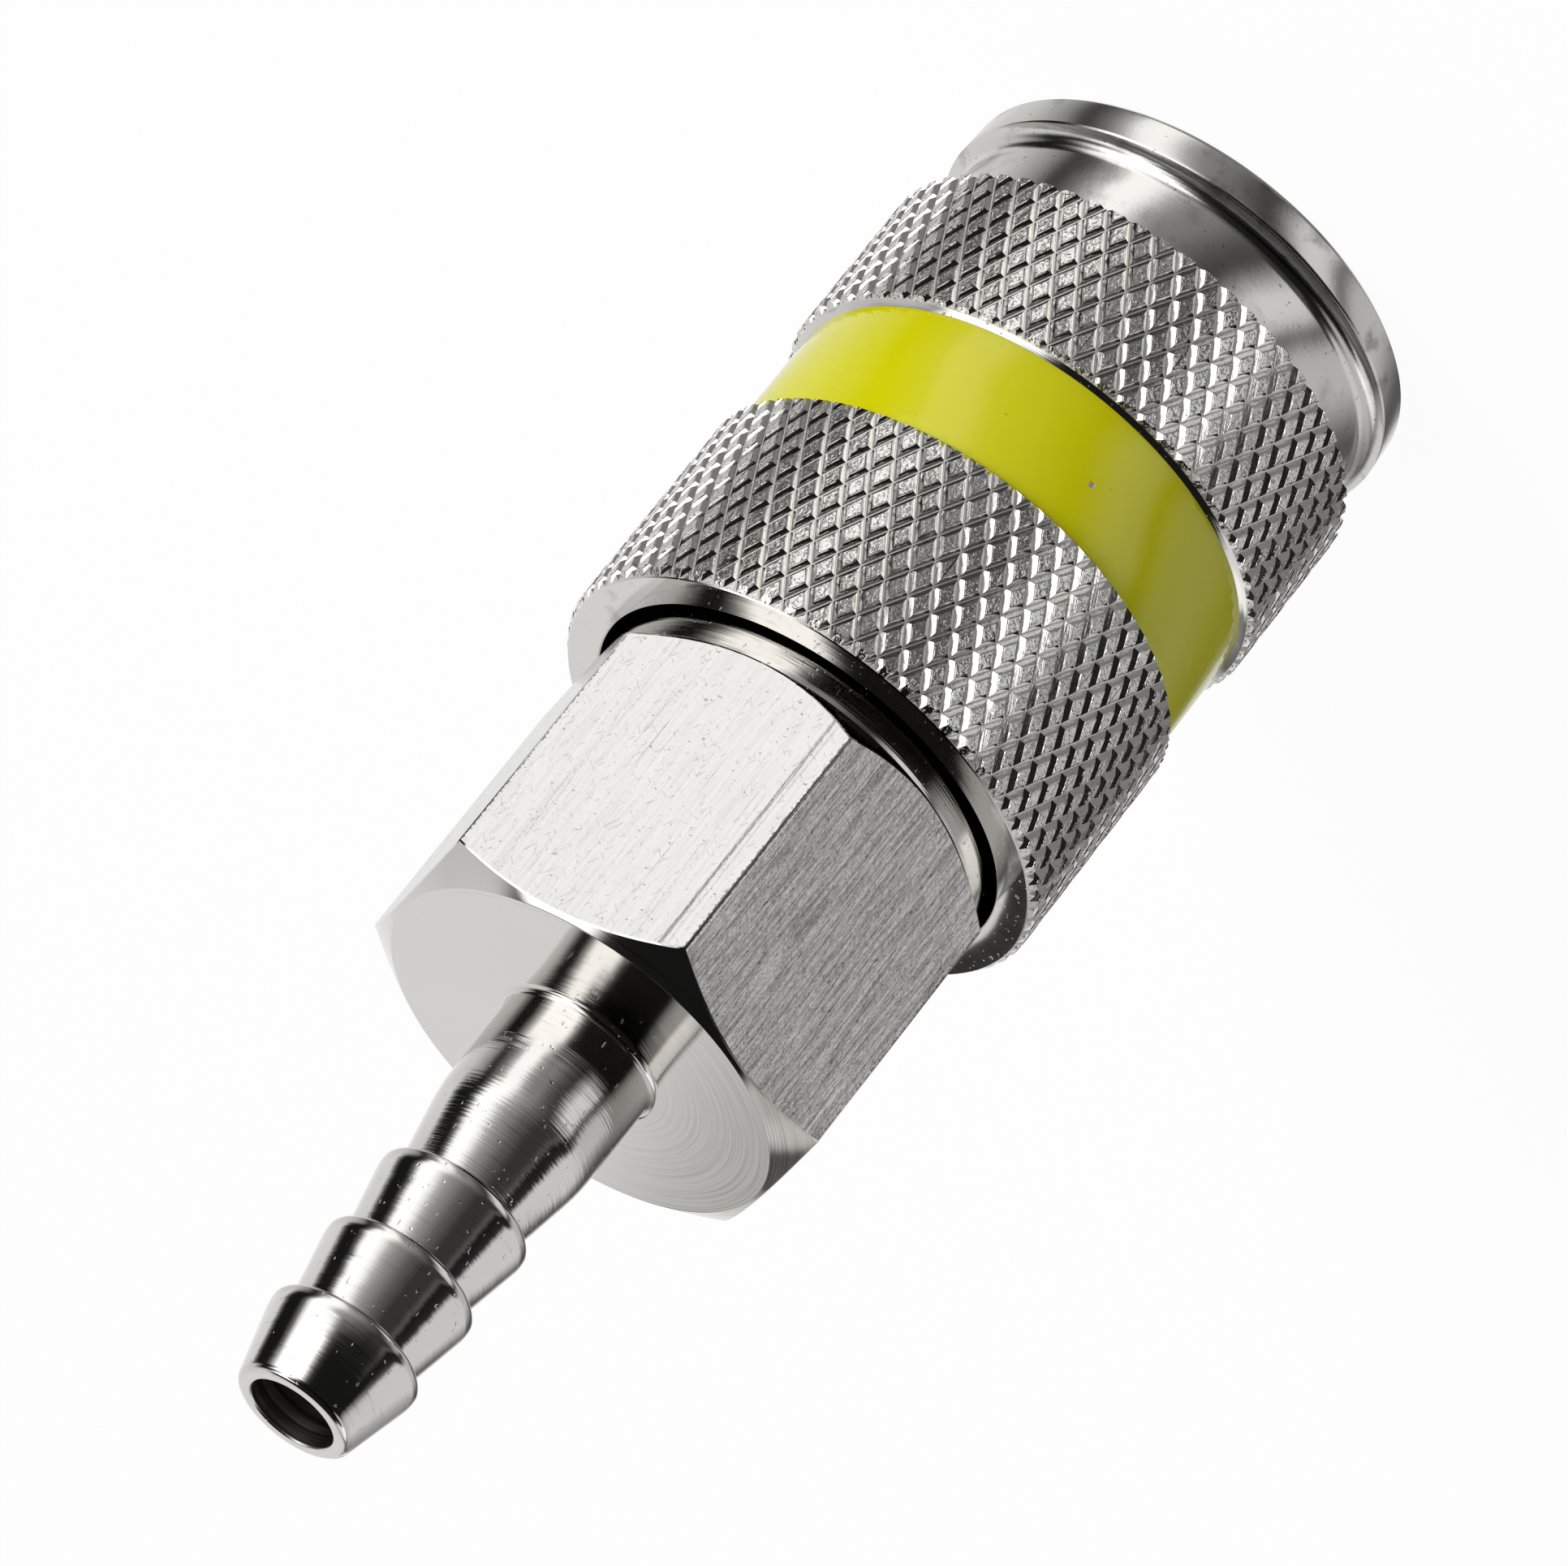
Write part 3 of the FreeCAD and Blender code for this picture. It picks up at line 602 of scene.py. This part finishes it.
def knurled_band(low, high, low_lean, high_lean, turn, shift):
    """One knurled band with open ends. It is made flat, one column of diamonds, and bent round.
    The leans say how far along the axis an end wall moves for each millimetre of depth."""
    half_width = math.pi * SLEEVE_RADIUS / KNURL_STARTS
    band = bmesh.new()
    marks = band.loops.layers.uv.new("marks")
    bmesh.ops.create_circle(band, cap_ends=True, segments=4, radius=1)
    bmesh.ops.scale(band, vec=(half_width, KNURL_ROW, 1), verts=band.verts)
    diamond = band.verts[:] + band.edges[:] + band.faces[:]
    first_row = math.floor((low - shift) / KNURL_ROW) - 1
    last_row = math.ceil((high - shift) / KNURL_ROW) + 1
    for row in range(first_row, last_row + 1):
        copy = bmesh.ops.duplicate(band, geom=diamond)["geom"]
        corners = [item for item in copy if isinstance(item, bmesh.types.BMVert)]
        place = Vector((half_width * (row % 2), KNURL_ROW * row + shift, -KNURL_DEPTH))
        bmesh.ops.translate(band, vec=place, verts=corners)
    bmesh.ops.delete(band, geom=diamond[:4], context="VERTS")
    bmesh.ops.remove_doubles(band, verts=band.verts, dist=0.001)
    bmesh.ops.subdivide_edges(band, edges=band.edges[:], cuts=2)
    bmesh.ops.recalc_face_normals(band, faces=band.faces)
    if band.faces[0].normal.z < 0:
        bmesh.ops.reverse_faces(band, faces=band.faces)
    tops = band.faces[:]
    grooves = []
    for width, rise, lean in KNURL_STEPS:
        inset = bmesh.ops.inset_individual(band, faces=tops, thickness=width, depth=rise,
                                           use_even_offset=True)
        grooves = grooves or inset["faces"]
        corners = list(dict.fromkeys(vert for face in tops for vert in face.verts))
        bmesh.ops.translate(band, vec=(-lean, 0, 0), verts=corners)
    for face in band.faces:
        face.material_index = 1
        longest = max(face.edges, key=lambda edge: edge.calc_length())
        lay = longest.verts[1].co - longest.verts[0].co
        along = Vector((lay.x, lay.y)).normalized()
        for loop in face.loops:
            spot = loop.vert.co.xy
            loop[marks].uv = (spot.cross(along) * MM, spot.dot(along) * MM)
    for face in tops:
        face.material_index = 2
    for face in grooves:
        face.material_index = 4
    for height, lean, side in ((low, low_lean, -1), (high, high_lean, 1)):
        whole = band.verts[:] + band.edges[:] + band.faces[:]
        bmesh.ops.bisect_plane(band, geom=whole, dist=0.0001, plane_co=(0, height, 0),
                               plane_no=(0, side, side * lean), clear_outer=True)
    for vert in band.verts:
        angle = vert.co.x / SLEEVE_RADIUS
        radius = SLEEVE_RADIUS + vert.co.z
        vert.co = (radius * math.cos(angle), radius * math.sin(angle), vert.co.y)
    column = band.verts[:] + band.edges[:] + band.faces[:]
    for number in range(1, KNURL_STARTS):
        copy = bmesh.ops.duplicate(band, geom=column)["geom"]
        corners = [item for item in copy if isinstance(item, bmesh.types.BMVert)]
        start = Matrix.Rotation(2 * math.pi * number / KNURL_STARTS, 3, "Z")
        bmesh.ops.rotate(band, cent=(0, 0, 0), matrix=start, verts=corners)
    bmesh.ops.remove_doubles(band, verts=band.verts, dist=0.001)
    start = Matrix.Rotation(math.radians(turn), 3, "Z")
    bmesh.ops.rotate(band, cent=(0, 0, 0), matrix=start, verts=band.verts)
    seed_set(KNURL_SEED)
    for vert in band.verts:
        if vert.co.xy.length > SLEEVE_RADIUS - 0.01:
            vert.co += noise_vector(vert.co * 9) * KNURL_RAGGED
            vert.co.xy *= min(1, SLEEVE_RADIUS / vert.co.xy.length)
    return band


def join(bm, other):
    """Adds another bmesh to this one."""
    mesh = bpy.data.meshes.new("part")
    other.to_mesh(mesh)
    other.free()
    bm.from_mesh(mesh)
    bpy.data.meshes.remove(mesh)


def open_ends(bm):
    """The rings of open edges, from the mouth upwards."""
    left = dict.fromkeys(edge for edge in bm.edges if edge.is_boundary)
    rings = []
    while left:
        ring_edges = [left.popitem()[0]]
        for edge in ring_edges:
            for vert in edge.verts:
                joined = [other for other in vert.link_edges if other in left]
                for other in joined:
                    del left[other]
                ring_edges.extend(joined)
        rings.append(ring_edges)
    return sorted(rings, key=lambda edges: sum(edge.verts[0].co.z for edge in edges) / len(edges))


wall_lean = GROOVE_WALL_RUN / (SLEEVE_RADIUS - GROOVE_FLOOR_RADIUS)
chamfer_lean = REAR_CHAMFER_LENGTH / REAR_CHAMFER_DEPTH
rear_start = SLEEVE_END - REAR_CHAMFER_LENGTH
bm = knurled_band(
    KNURL_FRONT, GROOVE_FRONT, 0.0, wall_lean, FRONT_KNURL_TURN, FRONT_KNURL_SHIFT)
join(bm, knurled_band(
    GROOVE_REAR, rear_start, -wall_lean, chamfer_lean, REAR_KNURL_TURN, REAR_KNURL_SHIFT))
smooth_part = bmesh.new()
turned(smooth_part, [
    (SLEEVE_RADIUS - BELOW_KNURL, GROOVE_FRONT + wall_lean * BELOW_KNURL, 0),
    (GROOVE_FLOOR_RADIUS, GROOVE_FRONT + GROOVE_WALL_RUN, 0.2),
    (GROOVE_FLOOR_RADIUS, GROOVE_REAR - GROOVE_WALL_RUN, 0.2),
    (SLEEVE_RADIUS - BELOW_KNURL, GROOVE_REAR - wall_lean * BELOW_KNURL, 0),
], False, SLEEVE_STEPS)
turned(smooth_part, [
    (SLEEVE_RADIUS - BELOW_KNURL, KNURL_FRONT, 0), (NECK_RADIUS, KNURL_FRONT, 0.3),
    (NECK_RADIUS, RIM_LENGTH, 0.95), (RIM_RADIUS, RIM_LENGTH, 0.22),
    (RIM_EDGE_RADIUS, RIM_CHAMFER, 0.12), (RIM_EDGE_RADIUS - RIM_CHAMFER, 0.0, 0.1),
    (MOUTH_RADIUS, 0.0, 0.1), (MOUTH_RADIUS, MOUTH_DEPTH, 0),
    (RELIEF_RADIUS, MOUTH_DEPTH, 0.05), (RELIEF_RADIUS, CONE_START, 0),
    (CONE_START_RADIUS, CONE_START, 0), (LOCK_RADIUS, CONE_END, 0), (LOCK_RADIUS, SHOULDER, 0),
    (SLEEVE_BORE_RADIUS, SHOULDER, 0), (SLEEVE_BORE_RADIUS, SLEEVE_END, 0.12),
    (SLEEVE_RADIUS - REAR_CHAMFER_DEPTH, SLEEVE_END, 0),
    (SLEEVE_RADIUS - BELOW_KNURL, rear_start + chamfer_lean * BELOW_KNURL, 0),
], False, SLEEVE_STEPS)
for face in smooth_part.faces:
    middle = face.calc_center_median()
    if middle.z < KNURL_FRONT and middle.xy.length > MOUTH_RADIUS + 0.1:
        face.material_index = 3
join(bm, smooth_part)
ends = open_ends(bm)
for first, second in zip(ends[::2], ends[1::2]):
    bmesh.ops.bridge_loops(bm, edges=first + second)
bmesh.ops.recalc_face_normals(bm, faces=bm.faces)


def satin_marks(finish, place):
    """Neck and rim: faint rings, clouded plate, and blotches where hands have worn it."""
    rings = noise(finish, stretched(finish, place, 60, 60, 4200), 1.0, 3.0)
    clouds = noise(finish, place, 260)
    height = rings * 2.5e-6 + noise(finish, place, 5000, 2.0) * 2e-6 + clouds * 1.0e-5
    x, y = finish.axes(place)[:2]
    on_rim = (x * x + y * y).maths("SQRT").step(12.15 * MM, 12.5 * MM) * 0.35
    blotches = noise(finish, place, 420, 4.0, 0.6).step(0.5, 0.72) * (on_rim + 0.35)
    specks = noise(finish, place, 3600, 1.0).step(0.72, 0.78) * 0.7
    return height, blotches.maths("MAXIMUM", specks), clouds * 0.4


def wheel_marks(finish, place):
    """Fine lines along the grooves, which the teeth of the knurling wheel left on the flanks.
    Near the tops the flanks are torn."""
    x, y, z = finish.axes(place)
    spot = finish.coordinates("UV")
    across, along = finish.axes(spot)[:2]
    line_place = finish.node("ShaderNodeCombineXYZ", None, {
        0: across * 14000, 1: along * 900, 2: x * 900 + y * 1300 + z * 500})
    lines = noise(finish, line_place, 1.0)
    lip = (x * x + y * y).maths("SQRT").step(13.44 * MM, 13.49 * MM)
    torn = lip * noise(finish, place, 5200, 1.0) * 7e-5
    stain = noise(finish, place, 3500, 2.0).step(0.58, 0.75) * 0.4
    height = lines * 7e-6 + noise(finish, place, 6000, 2.0) * 5e-6 + torn
    return height, stain, noise(finish, place, 2500) * 0.5


def top_marks(finish, place):
    """The tops of the diamonds, pressed up rough between the wheel's teeth."""
    grit = noise(finish, place, 5600, 1.0).step(0.6, 0.72)
    lumps = noise(finish, place, 4400, 1.5, 0.5) * 4.5e-5 + grit * 3e-5
    pits = noise(finish, place, 5200, 1.0).step(0.34, 0.25)
    grime = noise(finish, place, 2600, 3.0).step(0.55, 0.75)
    stain = (pits * 0.6).maths("MAXIMUM", grime * 0.3)
    return lumps - pits * 3e-5, stain, noise(finish, place, 5200) * 0.5


def groove_marks(finish, place):
    """The bottoms of the grooves, rounded by the tips of the wheel's teeth and left rough. Their
    plate is near white, a painted highlight along each groove.
    """
    height = noise(finish, place, 3000) * 1e-5
    return height, noise(finish, place, 2000) * 0.1, noise(finish, place, 900) + 1.4


satin_nickel = nickel("satin_nickel", 0.11, satin_marks)
# Flanks and tops are brightened by their plate colour, painted light.
flank_nickel_painted_light = nickel("flank_nickel_painted_light", 0.06, wheel_marks, FLANK_PAINTED_LIGHT)
rough_top_painted_light = nickel("rough_top_painted_light", 0.13, top_marks, TOP_PAINTED_LIGHT)
# The groove bottoms take the near-white plate, a painted highlight.
groove_painted_highlight = nickel("groove_painted_highlight", 0.10, groove_marks, GROOVE_HIGHLIGHT_WHITE)
sleeve_finishes = [turned_nickel, flank_nickel_painted_light, rough_top_painted_light, satin_nickel, groove_painted_highlight]
sleeve = new_piece("knurled_sleeve", bm, sleeve_finishes, 20)
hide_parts("outer_sleeve")
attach(sleeve, "sleeve")


# Colour band: yellow-green lacquer sprayed into the groove, glossy, with a few specks in it
# and one small chip that bares the nickel.
LACQUER = (0.60, 0.585, 0.0, 1.0)
LACQUER_DEEP = (0.56, 0.53, 0.0, 1.0)
LACQUER_SPECK = (0.10, 0.09, 0.01, 1.0)
BAND_RADIUS = 12.92
BAND_START = 15.62
BAND_END = 22.43
BAND_EDGE_RUN = 0.07
CHIP_AZIMUTH = math.radians(-36.65)
CHIP_HEIGHT = 19.53
bm = turned(bmesh.new(), [
    (GROOVE_FLOOR_RADIUS, BAND_START + BAND_EDGE_RUN, 0), (BAND_RADIUS, BAND_START, 0.02),
    (BAND_RADIUS, BAND_END, 0.02), (GROOVE_FLOOR_RADIUS, BAND_END - BAND_EDGE_RUN, 0),
], True, SLEEVE_STEPS)
bmesh.ops.recalc_face_normals(bm, faces=bm.faces)
lacquer, finish = new_material("lime_lacquer")
place = finish.coordinates()
clouds = noise(finish, place, 160, 2.0)
chip_place = Vector((math.cos(CHIP_AZIMUTH) * BAND_RADIUS, math.sin(CHIP_AZIMUTH) * BAND_RADIUS,
                     CHIP_HEIGHT)) * MM
away = finish.node("ShaderNodeVectorMath", {"operation": "DISTANCE"}, {0: place, 1: chip_place}, 1)
chip = (away + noise(finish, place, 5000) * (0.2 * MM)).step(0.27 * MM, 0.22 * MM)
specks = noise(finish, place, 2600, 1.0).step(0.79, 0.84) * 0.6
colour = finish.mixed(clouds, LACQUER, LACQUER_DEEP)
colour = finish.mixed(specks, colour, LACQUER_SPECK)
colour = finish.mixed(chip, colour, NICKEL)
peel = noise(finish, place, 900, 1.0) * 1.5e-6 - chip * 2e-5
coat(finish, peel, {"Base Color": colour, "Metallic": chip, "Roughness": chip * 0.3 + 0.07})
band = new_piece("lacquer_band", bm, [lacquer])
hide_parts("colour_band")
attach(band, "sleeve")


# Inside: turned brass tube and valve, hardened steel balls, ring and washer, moulded rubber
# seals. They are finished plainly, and their solids are shown as they are.
BRASS = (0.68, 0.47, 0.20, 1.0)
STEEL = (0.46, 0.46, 0.47, 1.0)
RUBBER = (0.02, 0.02, 0.021, 1.0)


def plain_metal(name, colour, roughness):
    material, finish = new_material(name)
    place = finish.coordinates()
    rings = noise(finish, stretched(finish, place, 300, 300, 4000), 1.0)
    haze = noise(finish, place, 700) * 0.2 + roughness
    coat(finish, rings * 3e-6, {"Base Color": colour, "Metallic": 1.0, "Roughness": haze})
    return material


brass = plain_metal("turned_brass", BRASS, 0.22)
steel = plain_metal("spring_steel", STEEL, 0.2)
rubber, finish = new_material("seal_rubber")
place = finish.coordinates()
grain = noise(finish, place, 6000, 2.0)
coat(finish, grain * 6e-6, {"Base Color": RUBBER, "Roughness": grain * 0.2 + 0.45})
inside = {
    brass: ("socket_body", "valve_nose", "valve_stem", "valve_guide"),
    steel: ("sleeve_stop_ring", "thrust_washer", "lock_ball_1", "lock_ball_2", "lock_ball_3",
            "lock_ball_4", "lock_ball_5", "lock_ball_6"),
    rubber: ("body_gasket", "plug_seal", "valve_seal"),
}
for material, names in inside.items():
    for name in names:
        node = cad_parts[name]
        node.data.materials.clear()
        node.data.materials.append(material)


# Two coil springs, wound from steel wire, copied whole from their CAD meshes and carried
# with the coupling.
SLEEVE_TRAVEL = 1.7
VALVE_TRAVEL = 3.0
springs = (
    ("sleeve_spring", "sleeve_slide", SLEEVE_TRAVEL), ("valve_spring", "valve_slide", VALVE_TRAVEL))
for name, joint, travel in springs:
    bm = bmesh.new()
    bm.from_mesh(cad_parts[name].data)
    bmesh.ops.remove_doubles(bm, verts=bm.verts, dist=0.000001)
    bmesh.ops.scale(bm, vec=(1 / MM, 1 / MM, 1 / MM), verts=bm.verts)
    coil = new_piece("wound_" + name, bm, [steel], 40)
    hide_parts(name)
    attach(coil, "coupling")
    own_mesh(coil)
